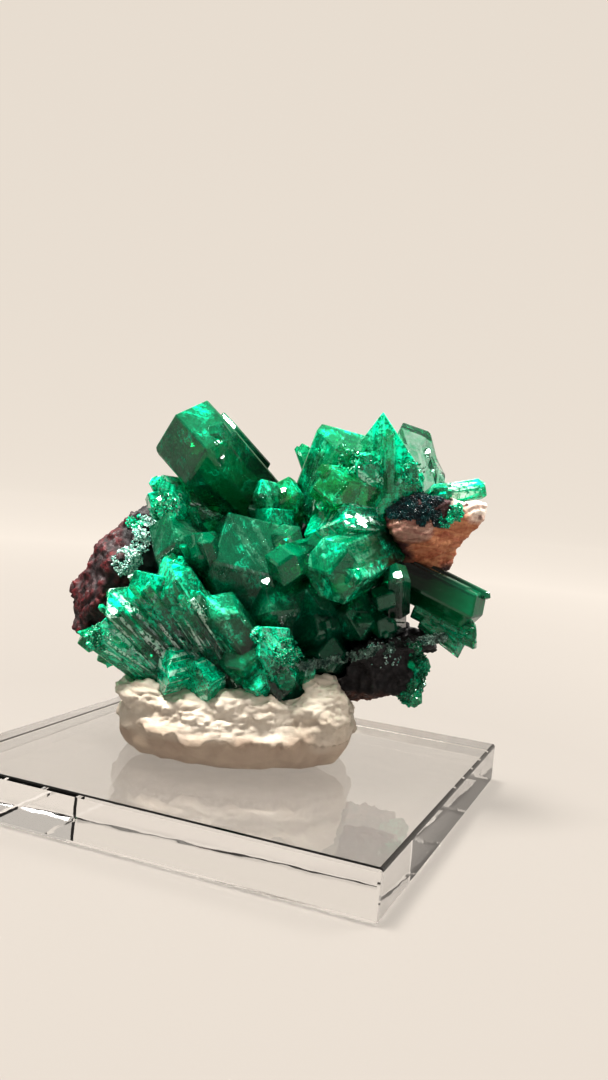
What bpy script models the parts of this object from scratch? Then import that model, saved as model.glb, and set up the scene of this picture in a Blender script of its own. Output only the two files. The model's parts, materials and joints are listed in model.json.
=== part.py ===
"""Dioptase crystals on dark rock, pressed into putty on a clear square base.

Lengths are in millimetres until the last step, which turns every mesh into
metres. The specimen is laid out in a frame of its own, X to the right, Y to
the back and Z up from the underside of the base. One empty turns that frame
on the base.
"""

import math
import random
from collections import namedtuple

import bmesh
import bpy
from mathutils import Matrix, Quaternion, Vector, noise

# Clear base
BASE_SIDE = 50.0
BASE_THICKNESS = 5.0
BASE_BEVEL = 0.35

# Specimen
SPECIMEN_TURN = 21.6  # degrees, the specimen against the base
GAP = 0.3  # between neighbouring pieces
CAP_SLOPE = math.radians(51)  # lean of the three cap faces of a dioptase prism
METRES = 0.001
WORK_CUBE = 200.0  # larger than the whole specimen, cut down to each convex solid

# Putty, a low disc whose half width changes with height
PUTTY_MIDDLE = (-1.3, 0.2)
PUTTY_HALF_WIDTH = 13.4
PUTTY_HALF_DEPTH = 10.8
PUTTY_SIDES = 40
PUTTY_FLOOR = BASE_THICKNESS + GAP
PUTTY_PROFILE = [  # height, share of the half width
    (PUTTY_FLOOR, 0.9),
    (6.4, 0.97),
    (8.4, 1.0),
    (10.4, 0.985),
    (12.0, 0.93),
    (13.0, 0.8),
    (13.4, 0.55),
]
PUTTY_LOBES = [  # middle, half sizes, lean about Y in degrees
    ((7.6, -3.4, 11.4), (4.4, 4.0, 4.2), 12),
    ((-9.4, -4.4, 11.6), (5.6, 4.4, 2.6), 8),
    ((-0.8, -6.6, 12.0), (5.6, 3.6, 2.2), 0),
    ((0.0, 5.0, 12.2), (9.0, 4.8, 3.4), 0),
]

# Room cut in the rock for what it carries, wider where a thinned surface bulges
LEDGE_SEAM = 1.6 * GAP
PUTTY_SEAM = 1.2 * GAP

Crystal = namedtuple("Crystal", "foot tip across twist end")

# Each crystal runs from a foot inside the group to a free tip. Its width is
# measured between opposite sides.
LARGE_PRISM = [
    Crystal((-0.6, 5.0, 32.5), (-10.9, -7.0, 43.0), 8.2, 62, "point"),
]
LEFT_SHOULDER = [
    Crystal((-8.5, 1.0, 30.0), (-12.0, -3.0, 36.5), 3.8, 10, "point"),
    Crystal((-9.0, 1.0, 30.5), (-13.5, -3.0, 34.0), 3.2, 35, "point"),
    Crystal((-8.0, 0.0, 30.0), (-11.0, -5.0, 33.0), 3.4, 0, "broken"),
]
SADDLE = [
    Crystal((1.5, 0.5, 30.0), (-0.8, -3.0, 37.0), 3.0, 15, "point"),
    Crystal((2.2, 1.5, 29.5), (2.2, -2.0, 37.6), 3.6, 40, "point"),
    Crystal((1.8, 1.0, 28.0), (0.8, -5.0, 34.0), 4.4, 5, "point"),
]
CROWN = [
    Crystal((8.8, 3.0, 29.5), (5.8, -1.0, 43.6), 8.2, 12, "point"),
    Crystal((11.8, 2.5, 31.0), (9.8, -1.5, 43.2), 7.4, 40, "broken"),
    Crystal((15.0, 2.0, 34.5), (12.0, -1.0, 46.2), 5.4, 25, "point"),
    Crystal((19.0, 4.0, 35.0), (14.6, 2.4, 45.8), 4.2, 5, "point"),
    Crystal((18.2, 3.0, 35.0), (18.2, 1.6, 42.4), 3.6, 30, "point"),
    Crystal((13.2, 0.8, 36.4), (4.8, -6.4, 36.6), 4.8, 50, "point"),
    Crystal((12.6, 0.2, 32.6), (6.2, -6.0, 32.8), 5.0, 20, "broken"),
    Crystal((14.0, 1.0, 37.2), (9.5, -4.8, 39.4), 3.6, 0, "point"),
    Crystal((5.6, 3.6, 36.5), (3.3, 3.2, 41.6), 2.0, 0, "point"),
]
FRONT_CLUSTER = [
    Crystal((13.4, 0.8, 29.6), (7.0, -11.0, 27.2), 6.6, 28, "point"),
    Crystal((8.0, 0.5, 29.3), (2.0, -10.0, 27.6), 4.0, 10, "point"),
    Crystal((11.0, 0.5, 29.8), (4.6, -6.0, 30.2), 3.4, 50, "point"),
]
FAN = [
    Crystal((-6.0, -3.0, 11.0), (-16.6, -6.2, 19.4), 4.6, 15, "broken"),
    Crystal((-4.0, -3.5, 11.4), (-16.2, -6.8, 23.4), 5.0, 40, "point"),
    Crystal((-1.5, -3.5, 12.2), (-13.6, -7.2, 25.6), 5.2, 5, "point"),
    Crystal((1.0, -4.5, 12.8), (-10.4, -8.4, 26.4), 5.2, 30, "broken"),
    Crystal((3.4, -4.5, 13.4), (-6.2, -9.6, 24.6), 5.2, 55, "point"),
    Crystal((-2.0, 1.5, 12.0), (-14.5, -2.5, 25.0), 7.0, 20, "point"),
    Crystal((4.8, -2.5, 12.8), (1.0, -9.2, 21.2), 4.8, 10, "point"),
    Crystal((1.5, -2.5, 12.6), (-1.8, -9.6, 18.6), 4.2, 35, "broken"),
]
CENTRE = [
    Crystal((-1.5, 4.0, 24.5), (-4.2, -8.6, 30.4), 10.0, 18, "point"),
    Crystal((3.5, 3.5, 20.5), (1.0, -8.4, 25.2), 8.4, 45, "point"),
    Crystal((0.5, 2.5, 17.0), (-2.5, -9.0, 23.6), 5.6, 5, "point"),
    Crystal((-6.5, 1.0, 26.5), (-10.2, -7.0, 30.6), 4.8, 30, "point"),
]
LOWER_MIDDLE = [
    Crystal((8.0, 3.0, 15.5), (6.0, -6.0, 24.0), 5.8, 22, "point"),
    Crystal((9.0, 2.5, 20.5), (5.4, -7.4, 25.6), 4.8, 48, "point"),
    Crystal((10.0, 2.0, 16.6), (7.4, -6.0, 18.4), 4.2, 40, "point"),
    Crystal((12.4, 3.0, 21.4), (9.8, -5.4, 23.0), 6.0, 35, "point"),
    Crystal((16.0, 2.0, 21.4), (13.6, -4.4, 22.2), 3.6, 5, "point"),
]
RIGHT_PRISM = [
    Crystal((11.0, 2.6, 25.4), (26.4, -1.8, 22.5), 6.2, 10, "point"),
    Crystal((20.5, -0.5, 24.6), (23.2, -1.6, 26.2), 1.8, 20, "point"),
    Crystal((18.5, 1.0, 21.8), (25.6, -1.2, 19.8), 3.4, 35, "broken"),
    Crystal((21.0, 0.5, 21.4), (26.0, -0.8, 20.8), 2.4, 0, "point"),
    Crystal((14.5, 1.0, 26.0), (19.8, -2.2, 27.0), 2.8, 15, "point"),
]
UPRIGHT_PAIR = [
    Crystal((16.8, -1.2, 24.4), (15.2, -5.8, 29.4), 3.0, 30, "point"),
    Crystal((16.2, -1.2, 24.8), (13.2, -6.0, 25.0), 3.0, 0, "point"),
]
LEDGE_CRYSTALS = [
    Crystal((19.0, 2.0, 36.6), (25.2, 2.6, 38.2), 2.3, 12, "broken"),
    Crystal((22.0, 2.4, 36.6), (25.4, 2.2, 39.0), 1.6, 40, "point"),
    Crystal((18.6, 2.2, 35.8), (20.5, -1.4, 38.0), 2.2, 25, "point"),
]
LOW_RIGHT = [
    Crystal((17.4, 1.5, 16.8), (21.0, -0.6, 17.0), 2.2, 10, "point"),
    Crystal((17.4, 1.5, 15.2), (20.8, -0.4, 14.8), 2.4, 35, "point"),
    Crystal((17.4, 1.5, 13.8), (20.4, 0.0, 12.4), 2.0, 5, "point"),
]
LOW_LEFT = [
    Crystal((-16.6, 0.5, 17.4), (-20.4, -1.6, 15.8), 2.6, 15, "point"),
    Crystal((-15.0, 0.0, 16.0), (-17.8, -2.6, 14.2), 2.6, 40, "point"),
]
REAR_LEFT = [
    Crystal((-5.0, 7.0, 27.0), (-9.6, 13.6, 31.6), 4.6, 10, "point"),
    Crystal((-3.0, 7.5, 25.0), (-4.4, 14.8, 26.4), 3.6, 35, "point"),
    Crystal((-6.5, 7.0, 24.6), (-10.6, 12.2, 24.0), 3.0, 20, "broken"),
]
REAR_RIGHT = [
    Crystal((9.0, 7.5, 28.0), (12.8, 14.0, 31.4), 4.2, 20, "point"),
    Crystal((8.0, 7.5, 26.4), (6.4, 14.2, 28.8), 3.0, 45, "point"),
    Crystal((9.5, 7.0, 26.4), (12.6, 13.2, 25.0), 3.4, 5, "broken"),
]

# Rounded lumps of the dark rock: middle, half sizes, lean about Y in degrees
ROCK_LUMPS = [
    ((-17.3, 3.2, 20.8), (5.8, 5.6, 5.8), 0),
    ((-15.8, 3.6, 25.0), (5.4, 5.4, 5.0), 0),
    ((-12.2, 4.2, 28.2), (5.6, 5.4, 5.4), -35),
    ((-8.5, 4.5, 19.0), (7.0, 6.5, 6.0), 0),
    ((-2.5, 6.0, 24.0), (10.0, 6.5, 7.5), 0),
    ((-0.8, 7.2, 30.0), (6.0, 5.0, 5.4), 0),
    ((3.0, 3.5, 17.6), (9.0, 6.5, 5.0), 0),
    ((9.6, 6.4, 28.0), (7.6, 5.2, 8.0), 0),
    ((12.4, 4.0, 21.8), (6.4, 5.6, 4.4), 0),
    ((15.2, 0.6, 19.2), (8.6, 5.6, 2.3), -17),
]
ROCK_BLOCK = ((13.8, 2.4, 15.0), (5.0, 5.2, 3.4), -8)
LEDGE_CORNERS = [
    (26.2, 1.6, 37.0), (25.2, 0.6, 35.0), (22.4, 0.4, 31.2), (22.4, 1.6, 28.4),
    (20.6, 1.4, 27.0), (17.6, 1.6, 26.8), (15.4, 2.0, 29.0), (12.9, -3.6, 34.6),
    (14.2, -4.0, 32.0), (18.6, -3.4, 32.4), (19.4, -3.2, 37.4), (14.0, 1.0, 37.0),
    (24.6, 4.4, 36.4), (20.0, 7.4, 35.0), (19.0, 6.6, 29.0), (16.0, 6.8, 34.0),
]


def clear_scene():
    for thing in list(bpy.data.objects):
        bpy.data.objects.remove(thing, do_unlink=True)


def make_material(name, colour, roughness, transmission=0.0, ior=1.5):
    material = bpy.data.materials.new(name)
    material.use_nodes = True
    shader = material.node_tree.nodes["Principled BSDF"]
    shader.inputs["Base Color"].default_value = (*colour, 1.0)
    shader.inputs["Roughness"].default_value = roughness
    shader.inputs["Metallic"].default_value = 0.0
    shader.inputs["Transmission Weight"].default_value = transmission
    shader.inputs["IOR"].default_value = ior
    material.diffuse_color = (*colour, 1.0)
    return material


def make_object(name, shape):
    """Puts a bmesh in the scene as an object and frees the bmesh."""
    bmesh.ops.recalc_face_normals(shape, faces=shape.faces[:])
    mesh = bpy.data.meshes.new(name)
    shape.to_mesh(mesh)
    shape.free()
    thing = bpy.data.objects.new(name, mesh)
    bpy.context.scene.collection.objects.link(thing)
    return thing


def bake(thing):
    """Replaces the object's mesh by what its modifiers make of it."""
    graph = bpy.context.evaluated_depsgraph_get()
    baked = bpy.data.meshes.new_from_object(thing.evaluated_get(graph))
    old = thing.data
    thing.modifiers.clear()
    thing.data = baked
    bpy.data.meshes.remove(old)


def combine(thing, other, operation):
    """Joins the other solid to this one, or cuts it away, and removes the other."""
    step = thing.modifiers.new("combine", "BOOLEAN")
    step.operation = operation
    step.solver = "EXACT"
    step.object = other
    bake(thing)
    bpy.data.objects.remove(other, do_unlink=True)


def box_of(thing):
    points = [vertex.co for vertex in thing.data.vertices]
    low = Vector([min(point[axis] for point in points) for axis in range(3)])
    high = Vector([max(point[axis] for point in points) for axis in range(3)])
    return low, high


def boxes_meet(one, other):
    low, high = box_of(one)
    other_low, other_high = box_of(other)
    return all(
        low[axis] < other_high[axis] and other_low[axis] < high[axis]
        for axis in range(3)
    )


def largest_body(thing):
    """Keeps the largest separate body of the mesh."""
    shape = bmesh.new()
    shape.from_mesh(thing.data)
    left = set(shape.verts)
    bodies = []
    while left:
        edge_of_search = [left.pop()]
        body = set(edge_of_search)
        while edge_of_search:
            vertex = edge_of_search.pop()
            for edge in vertex.link_edges:
                neighbour = edge.other_vert(vertex)
                if neighbour in left:
                    left.remove(neighbour)
                    body.add(neighbour)
                    edge_of_search.append(neighbour)
        bodies.append(body)
    bodies.sort(key=len)
    for body in bodies[:-1]:
        bmesh.ops.delete(shape, geom=list(body), context="VERTS")
    shape.to_mesh(thing.data)
    shape.free()


def crystal_planes(crystal, rng):
    """The flat sides of one crystal, as a point and an outward direction each."""
    foot = Vector(crystal.foot)
    tip = Vector(crystal.tip)
    axis = (tip - foot).normalized()
    level = axis.cross(Vector((0, 0, 1))).normalized()

    def around(degrees):
        return Quaternion(axis, math.radians(crystal.twist + degrees)) @ level

    planes = [(foot, -axis)]
    for step in range(6):
        outward = around(60 * step)
        reach = crystal.across / 2 * rng.uniform(0.94, 1.04)
        planes.append((foot + outward * reach, outward))
    if crystal.end == "point":
        for step in range(3):
            lean = around(120 * step + 30)
            outward = axis * math.cos(CAP_SLOPE) + lean * math.sin(CAP_SLOPE)
            drop = crystal.across * rng.uniform(0.0, 0.1)
            planes.append((tip - axis * drop, outward))
    else:
        for step in range(2):
            lean = around(rng.uniform(0, 360))
            tilt = math.radians(rng.uniform(12, 38))
            outward = axis * math.cos(tilt) + lean * math.sin(tilt)
            planes.append((tip - axis * crystal.across * 0.15 * step, outward))
    return planes


def solid_between(name, planes, grow=0.0):
    """The closed solid inside the planes, each moved out by grow."""
    shape = bmesh.new()
    bmesh.ops.create_cube(shape, size=WORK_CUBE)
    for point, outward in planes:
        cut = bmesh.ops.bisect_plane(
            shape,
            geom=shape.verts[:] + shape.edges[:] + shape.faces[:],
            dist=1e-5,
            plane_co=point + outward * grow,
            plane_no=outward,
            clear_outer=True,
        )
        rim = [item for item in cut["geom_cut"] if isinstance(item, bmesh.types.BMEdge)]
        if rim:
            bmesh.ops.edgeloop_fill(shape, edges=rim)
    return make_object(name, shape)


def crystal_group(name, crystals, seed):
    """One solid of crystals grown together, and the planes of each crystal."""
    rng = random.Random(seed)
    planes = [crystal_planes(crystal, rng) for crystal in crystals]
    group = solid_between(name, planes[0])
    for more in planes[1:]:
        combine(group, solid_between("crystal", more), "UNION")
    return group, planes


def cut_clear(thing, planes_of_others):
    """Cuts room for every crystal of the other groups, with the gap around it."""
    for planes in planes_of_others:
        room = solid_between("room", planes, grow=GAP)
        if boxes_meet(thing, room):
            combine(thing, room, "DIFFERENCE")
        else:
            bpy.data.objects.remove(room, do_unlink=True)


def ellipsoid(shape, middle, half_sizes, lean):
    turned = Matrix.Rotation(math.radians(lean), 4, "Y")
    placed = Matrix.Translation(middle) @ turned @ Matrix.Diagonal((*half_sizes, 1))
    bmesh.ops.create_icosphere(shape, subdivisions=3, radius=1, matrix=placed)


def add_skin(thing, voxel):
    """Covers overlapping closed shapes with one closed surface."""
    skin = thing.modifiers.new("skin", "REMESH")
    skin.mode = "VOXEL"
    skin.voxel_size = voxel
    bake(thing)


def thin_out(thing, keep):
    """Keeps this share of the triangles."""
    thin = thing.modifiers.new("thin", "DECIMATE")
    thin.ratio = keep
    bake(thing)


def craggy(thing, voxel, relief, grain, keep):
    """Skins overlapping lumps as one body, roughens it and thins its triangles."""
    add_skin(thing, voxel)
    normals = [vertex.normal.copy() for vertex in thing.data.vertices]
    for vertex, normal in zip(thing.data.vertices, normals):
        broad = noise.turbulence(vertex.co * 0.16, 3, False) - 0.45
        pits = noise.voronoi(vertex.co * grain)[0][0] - 0.4
        vertex.co += normal * relief * (broad + 0.9 * pits)
    # The second skin clears the folds that the roughening leaves.
    add_skin(thing, voxel)
    thin_out(thing, keep)


def make_rock():
    shape = bmesh.new()
    for middle, half_sizes, lean in ROCK_LUMPS:
        ellipsoid(shape, middle, half_sizes, lean)
    middle, half_sizes, lean = ROCK_BLOCK
    placed = Matrix.Translation(middle)
    placed = placed @ Matrix.Rotation(math.radians(lean), 4, "Y")
    placed = placed @ Matrix.Diagonal((*half_sizes, 1))
    bmesh.ops.create_cube(shape, size=2, matrix=placed)
    rock = make_object("matrix_rock", shape)
    craggy(rock, voxel=0.7, relief=1.7, grain=0.42, keep=0.185)
    return rock


def hull_of(name, points):
    """The convex solid around the points."""
    shape = bmesh.new()
    for point in points:
        shape.verts.new(point)
    hull = bmesh.ops.convex_hull(shape, input=shape.verts[:])
    inner = [item for item in hull["geom_interior"] if isinstance(item, bmesh.types.BMVert)]
    bmesh.ops.delete(shape, geom=inner, context="VERTS")
    return make_object(name, shape)


def grow(thing, amount):
    """Moves the whole surface out by the amount."""
    for vertex in thing.data.vertices:
        vertex.co += vertex.normal * amount


def make_ledge():
    ledge = hull_of("pale_ledge", LEDGE_CORNERS)
    craggy(ledge, voxel=0.5, relief=0.9, grain=0.55, keep=0.16)
    return ledge


def make_putty():
    """A pressed disc of putty with a lobe on the right and a raised rim."""
    shape = bmesh.new()
    across, along = PUTTY_MIDDLE
    rings = []
    for height, share in PUTTY_PROFILE:
        ring = []
        for step in range(PUTTY_SIDES):
            angle = 2 * math.pi * step / PUTTY_SIDES
            wave = 1 + 0.035 * math.sin(2 * angle + 0.6) + 0.025 * math.sin(3 * angle + 2.0)
            ring.append(shape.verts.new((
                across + PUTTY_HALF_WIDTH * share * wave * math.cos(angle),
                along + PUTTY_HALF_DEPTH * share * wave * math.sin(angle),
                height,
            )))
        rings.append(ring)
    for lower, upper in zip(rings, rings[1:]):
        for step in range(PUTTY_SIDES):
            after = (step + 1) % PUTTY_SIDES
            shape.faces.new((lower[step], lower[after], upper[after], upper[step]))
    shape.faces.new(rings[0])
    shape.faces.new(rings[-1])
    for middle, half_sizes, lean in PUTTY_LOBES:
        ellipsoid(shape, middle, half_sizes, lean)
    putty = make_object("mounting_putty", shape)
    add_skin(putty, 0.6)
    for vertex in putty.data.vertices:
        swell = noise.noise(vertex.co * 0.35) + 0.5 * noise.noise(vertex.co * 0.9)
        vertex.co += vertex.normal * 0.35 * swell
    thin_out(putty, 0.115)
    below = [(Vector((0, 0, PUTTY_FLOOR)), Vector((0, 0, 1)))]
    combine(putty, solid_between("below", below), "DIFFERENCE")
    return putty


def make_base():
    shape = bmesh.new()
    size = Matrix.Diagonal((BASE_SIDE, BASE_SIDE, BASE_THICKNESS, 1))
    middle = Matrix.Translation((0, 0, BASE_THICKNESS / 2))
    bmesh.ops.create_cube(shape, size=1, matrix=middle @ size)
    bmesh.ops.bevel(
        shape,
        geom=shape.edges[:],
        offset=BASE_BEVEL,
        segments=2,
        profile=0.5,
        affect="EDGES",
    )
    return make_object("acrylic_base", shape)


def finish(thing, material, turn=None):
    """Turns millimetres into metres, sets the material and hangs it on the turn."""
    thing.data.transform(Matrix.Scale(METRES, 4))
    thing.data.materials.clear()
    thing.data.materials.append(material)
    if turn:
        thing.parent = turn


def main():
    clear_scene()
    turn = bpy.data.objects.new("specimen_turn", None)
    turn.rotation_euler.z = math.radians(SPECIMEN_TURN)
    bpy.context.scene.collection.objects.link(turn)

    deep = make_material("dioptase_deep", (0.005, 0.22, 0.11), 0.05, 0.9, 1.66)
    bright = make_material("dioptase_bright", (0.01, 0.45, 0.27), 0.12, 0.7, 1.66)
    gossan = make_material("dark_rock", (0.045, 0.012, 0.012), 0.7)
    pale = make_material("pale_rock", (0.42, 0.22, 0.15), 0.8)
    putty_tone = make_material("putty", (0.62, 0.55, 0.46), 0.75)
    acrylic = make_material("clear_acrylic", (0.97, 0.97, 0.97), 0.02, 1.0, 1.49)

    # The groups that stand whole come first, and each later group is cut
    # clear of those before it.
    groups = [
        ("large_prism", LARGE_PRISM, deep),
        ("crown_crystals", CROWN, bright),
        ("front_crystals", FRONT_CLUSTER, bright),
        ("upright_pair", UPRIGHT_PAIR, deep),
        ("right_prism", RIGHT_PRISM, deep),
        ("fan_crystals", FAN, bright),
        ("saddle_crystals", SADDLE, bright),
        ("shoulder_crystals", LEFT_SHOULDER, bright),
        ("centre_crystals", CENTRE, deep),
        ("lower_middle_crystals", LOWER_MIDDLE, deep),
        ("ledge_crystals", LEDGE_CRYSTALS, bright),
        ("low_right_crystals", LOW_RIGHT, bright),
        ("low_left_crystals", LOW_LEFT, bright),
        ("rear_left_crystals", REAR_LEFT, deep),
        ("rear_right_crystals", REAR_RIGHT, bright),
    ]
    taken = []
    for seed, (name, crystals, material) in enumerate(groups):
        group, planes = crystal_group(name, crystals, seed)
        cut_clear(group, taken)
        taken += planes
        largest_body(group)
        finish(group, material, turn)

    ledge = make_ledge()
    ledge_room = hull_of("room", [vertex.co for vertex in ledge.data.vertices])
    grow(ledge_room, LEDGE_SEAM)
    cut_clear(ledge, taken)
    largest_body(ledge)
    finish(ledge, pale, turn)

    putty = make_putty()
    putty_room = bpy.data.objects.new("room", putty.data.copy())
    bpy.context.scene.collection.objects.link(putty_room)
    grow(putty_room, PUTTY_SEAM)
    cut_clear(putty, taken)
    largest_body(putty)
    finish(putty, putty_tone, turn)

    rock = make_rock()
    cut_clear(rock, taken)
    combine(rock, ledge_room, "DIFFERENCE")
    combine(rock, putty_room, "DIFFERENCE")
    largest_body(rock)
    finish(rock, gossan, turn)

    finish(make_base(), acrylic)


main()
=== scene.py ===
"""Looks of a dioptase specimen: green crystals on dark rock, in putty on a clear base.

The specimen is laid out in millimetres in a frame of its own, X to the right, Y to
the back and Z up from the underside of the base. PLACE turns that frame on the base
and makes metres of it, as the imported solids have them.
"""

import json
import math
import random
from collections import namedtuple

import bmesh
import bpy
import numpy as np
from mathutils import Matrix, Quaternion, Vector, noise
from mathutils.bvhtree import BVHTree

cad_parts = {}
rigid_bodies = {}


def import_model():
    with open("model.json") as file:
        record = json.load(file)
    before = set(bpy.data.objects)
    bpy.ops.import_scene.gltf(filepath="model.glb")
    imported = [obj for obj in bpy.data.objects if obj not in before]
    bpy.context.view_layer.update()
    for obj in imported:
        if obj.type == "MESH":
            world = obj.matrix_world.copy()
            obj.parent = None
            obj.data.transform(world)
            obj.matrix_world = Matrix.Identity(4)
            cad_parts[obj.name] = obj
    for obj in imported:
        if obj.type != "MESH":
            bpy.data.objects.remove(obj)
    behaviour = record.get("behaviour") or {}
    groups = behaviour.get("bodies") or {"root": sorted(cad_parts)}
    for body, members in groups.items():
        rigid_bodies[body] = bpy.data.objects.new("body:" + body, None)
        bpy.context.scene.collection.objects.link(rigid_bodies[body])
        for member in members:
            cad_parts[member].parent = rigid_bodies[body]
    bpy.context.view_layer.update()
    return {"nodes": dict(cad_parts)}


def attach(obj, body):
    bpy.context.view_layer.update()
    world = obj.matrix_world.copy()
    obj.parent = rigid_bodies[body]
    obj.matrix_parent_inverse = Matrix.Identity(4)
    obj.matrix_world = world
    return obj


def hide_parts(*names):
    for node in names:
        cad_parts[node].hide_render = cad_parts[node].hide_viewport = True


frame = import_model()

METRES = 0.001
SPECIMEN_TURN = math.radians(21.6)
PLACE = Matrix.Rotation(SPECIMEN_TURN, 4, "Z") @ Matrix.Scale(METRES, 4)

# Lean of the three end faces from the crystal's cross section. A "broken" end has
# two flat breaks instead.
CAP_SLOPES = {
    "point": math.radians(51),
    "steep": math.radians(66),
    "blunt": math.radians(30),
}
PRISM_SIDES = 6
END_FACES = 3
BREAKS = 2
VEIL_CORNERS = 7
TRIES_PER_VEIL = 8
FLAT_CORNERS = 7

# Lengths in millimetres
WORK_CUBE = 200.0
MAIN_BEVEL = 0.09
SMALL_BEVEL = 0.03
VEIL_THICKNESS = 0.04
ROCK_VOXEL = 0.27
LEDGE_VOXEL = 0.16
PUTTY_VOXEL = 0.2
# A thinner crystal gets painted shade towards its foot as one of this width.
THIN_CRYSTAL = 4.0
# Height above the ground and overhang of the putty's torn lips
PUTTY_LIPS = ((8.2, 0.5), (10.6, 0.3))

DIOPTASE_IOR = 1.65
ACRYLIC_IOR = 1.49
PLAIN_IOR = 1.5

Crystal = namedtuple("Crystal", "foot tip across twist end finish sides", defaults=("veined", None))
Habit = namedtuple("Habit", "side_crystals width_share spread reach veils")

CLEAN = Habit(2, (0.1, 0.2), 0.01, (0.5, 0.9), 3)
STEPPED = Habit(8, (0.1, 0.4), 0.01, (0.7, 1.0), 4)
STRIATED = Habit(12, (0.12, 0.28), 0.02, (0.6, 1.0), 3)
SPARSE = Habit(3, (0.1, 0.35), 0.01, (0.7, 1.0), 2)
SMALL = Habit(4, (0.25, 0.5), 0.05, (0.5, 0.95), 2)

# Share fractured, share of painted glints (pale highlights) and of specks, and lean to yellow of each kind
# of crystal
FINISHES = {
    "clear": (0.0, 0.0, 0.0),
    "tinged": (0.36, 0.0, 0.1),
    "sparkling": (0.24, 0.5, 0.0),
    "veined": (0.45, 0.5, 0.1),
    "glowing": (0.4, 0.3, 1.0),
    "bright": (0.85, 0.4, 0.1),
    "streaked": (0.6, 0.9, 0.0),
    "fractured": (1.0, 0.85, 0.0),
}

# Camera, fitted to the corners of the square base in the photograph
PHOTO_SIZE = (608, 1080)
FOCAL_PIXELS = 988
CAMERA_PLACE = Vector((0.046473, -0.104738, 0.037366))
CAMERA_RIGHT = Vector((0.92334, 0.37172, 0.09628))
CAMERA_UP = Vector((-0.11247, 0.02207, 0.99341))
CAMERA_FORWARD = Vector((-0.36714, 0.92808, -0.06219))
# Millimetres from the camera to about the front of the specimen
FRONT_DISTANCE = 113.0

# Druse: how far from a patch's aim it may lie, in metres, and its bare spots' noise
FARTHEST_HIT = 0.03
BARE_SPOTS_SCALE = 700
BARE_SPOTS_LEVEL = -0.15

# Lights, in metres
MIDDLE = (0.0, 0.0, 0.028)
KEY_PLACE = (-0.07, -0.07, 0.34)
RIM_PLACE = (0.20, 0.16, 0.24)
PANEL_PLACE = (0.34, -0.34, 0.10)

# Crystals: foot inside the group, free tip, width across opposite sides, turn about
# the axis in degrees, kind of end, finish, and number of side crystals
LARGE_PRISM = [
    ((-0.6, 5.0, 32.5), (-10.9, -7.0, 43.0), 8.2, 62, "point", "tinged", 0),
    ((-2.3, 1.9, 37.4), (-7.4, -3.8, 42.3), 5.0, 62, "blunt", "clear", 0),
    ((-3.9, -3.0, 38.8), (-6.8, -6.3, 42.2), 2.6, 10, "blunt", "sparkling", 0),
]
LEFT_SHOULDER = [
    ((-2.5, 6.0, 28.5), (-9.2, -2.2, 34.4), 5.2, 25, "point"),
    ((-8.5, 1.0, 30.0), (-12.0, -3.0, 36.5), 3.8, 10, "point", "fractured"),
    ((-9.0, 1.0, 30.5), (-13.5, -3.0, 34.0), 3.2, 35, "point", "fractured"),
    ((-8.0, 0.0, 30.0), (-11.0, -5.0, 33.0), 3.4, 0, "broken", "fractured"),
]
SADDLE = [
    ((1.5, 0.5, 30.0), (-0.8, -3.0, 37.0), 3.0, 15, "point"),
    ((2.2, 1.5, 29.5), (2.2, -2.0, 37.6), 3.6, 40, "point", "glowing"),
    ((1.8, 1.0, 28.0), (0.8, -5.0, 34.0), 4.4, 5, "point"),
]
CROWN = [
    ((5.4, 3.0, 33.0), (8.4, -1.2, 43.6), 6.0, 12, "broken", "veined", 12),
    ((14.0, 2.2, 33.5), (12.2, -1.4, 46.4), 8.4, 73, "steep", "bright", 1),
    ((8.8, 3.0, 29.5), (6.8, 0.0, 41.0), 6.6, 12, "point", "bright", 4),
    ((13.2, 0.8, 36.4), (4.8, -6.4, 36.6), 4.8, 50, "point", "glowing", 3),
    ((12.6, 0.2, 32.6), (6.2, -6.0, 32.8), 5.0, 20, "broken", "fractured", 8),
    ((14.0, 1.0, 37.2), (9.5, -4.8, 39.4), 3.6, 0, "point", "fractured", 8),
    ((15.2, 2.6, 34.4), (15.6, -1.8, 39.2), 4.4, 35, "point", "fractured", 8),
    ((5.6, 3.6, 36.5), (3.3, 3.2, 41.6), 2.0, 0, "point", "clear", 2),
]
PALE_CROWN = [
    ((18.4, 3.4, 36.6), (14.9, 0.8, 45.2), 4.6, 5, "point", "clear", 2),
    ((18.6, 3.0, 35.6), (18.4, 1.0, 42.0), 3.6, 30, "point", "clear", 1),
]
FRONT_CLUSTER = [
    ((13.4, 0.8, 29.6), (7.2, -10.6, 27.4), 6.6, 28, "blunt", "veined", 4),
    ((8.0, 0.5, 29.3), (2.0, -10.0, 27.6), 4.0, 10, "blunt", "clear", 2),
    ((11.0, 0.5, 29.8), (4.6, -6.0, 30.2), 3.4, 50, "point", "clear", 2),
]
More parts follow.
